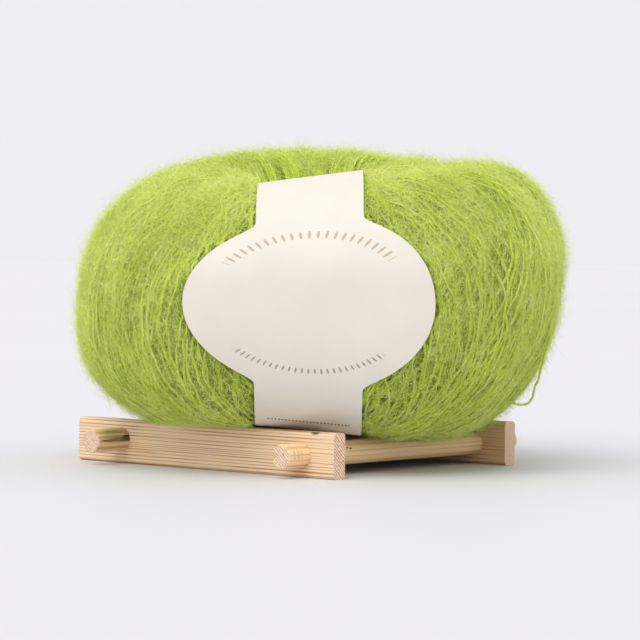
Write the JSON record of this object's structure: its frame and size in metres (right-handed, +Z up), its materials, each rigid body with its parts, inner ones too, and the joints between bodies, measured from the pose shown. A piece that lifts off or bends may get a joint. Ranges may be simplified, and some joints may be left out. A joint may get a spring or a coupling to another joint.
{
  "type": "yarn ball on display stand",
  "caption": "Fuzzy doughnut ball of brushed yarn with an oval card band, resting on a low wooden stand of rails joined by push-fit dowels.",
  "frame": {"origin": "on the surface that the stand rests on, under the middle of the whole object's box", "axes": "+X along the rails to the right, +Y along the dowels to the rear, +Z up; the ball's card faces between -Y and +X"},
  "size_m": [0.1624, 0.1614, 0.1081],
  "materials": {
    "rail_wood": "matte",
    "dowel_wood": "matte",
    "core_yarn": "matte",
    "outer_yarn": "matte",
    "card": "satin"
  },
  "bodies": {
    "stand": {"front_rail": "rail_wood", "rear_rail": "rail_wood"},
    "left_dowel": {"left_dowel": "dowel_wood"},
    "right_dowel": {"right_dowel": "dowel_wood"},
    "ball": {"core_winding": "core_yarn", "outer_winding": "outer_yarn", "label_band": "card", "band_overlap": "card", "loose_loop": "outer_yarn"}
  },
  "joints": [
    {"name": "ball_lift", "type": "slide", "parent": "stand", "child": "ball", "axis": [0, 0, 1], "range_m": [0, 0.12]},
    {"name": "left_dowel_slide", "type": "slide", "parent": "stand", "child": "left_dowel", "axis": [0, 1, 0], "range_m": [-0.01, 0.015]},
    {"name": "right_dowel_slide", "type": "slide", "parent": "stand", "child": "right_dowel", "axis": [0, 1, 0], "range_m": [-0.0145, 0.0105]}
  ]
}
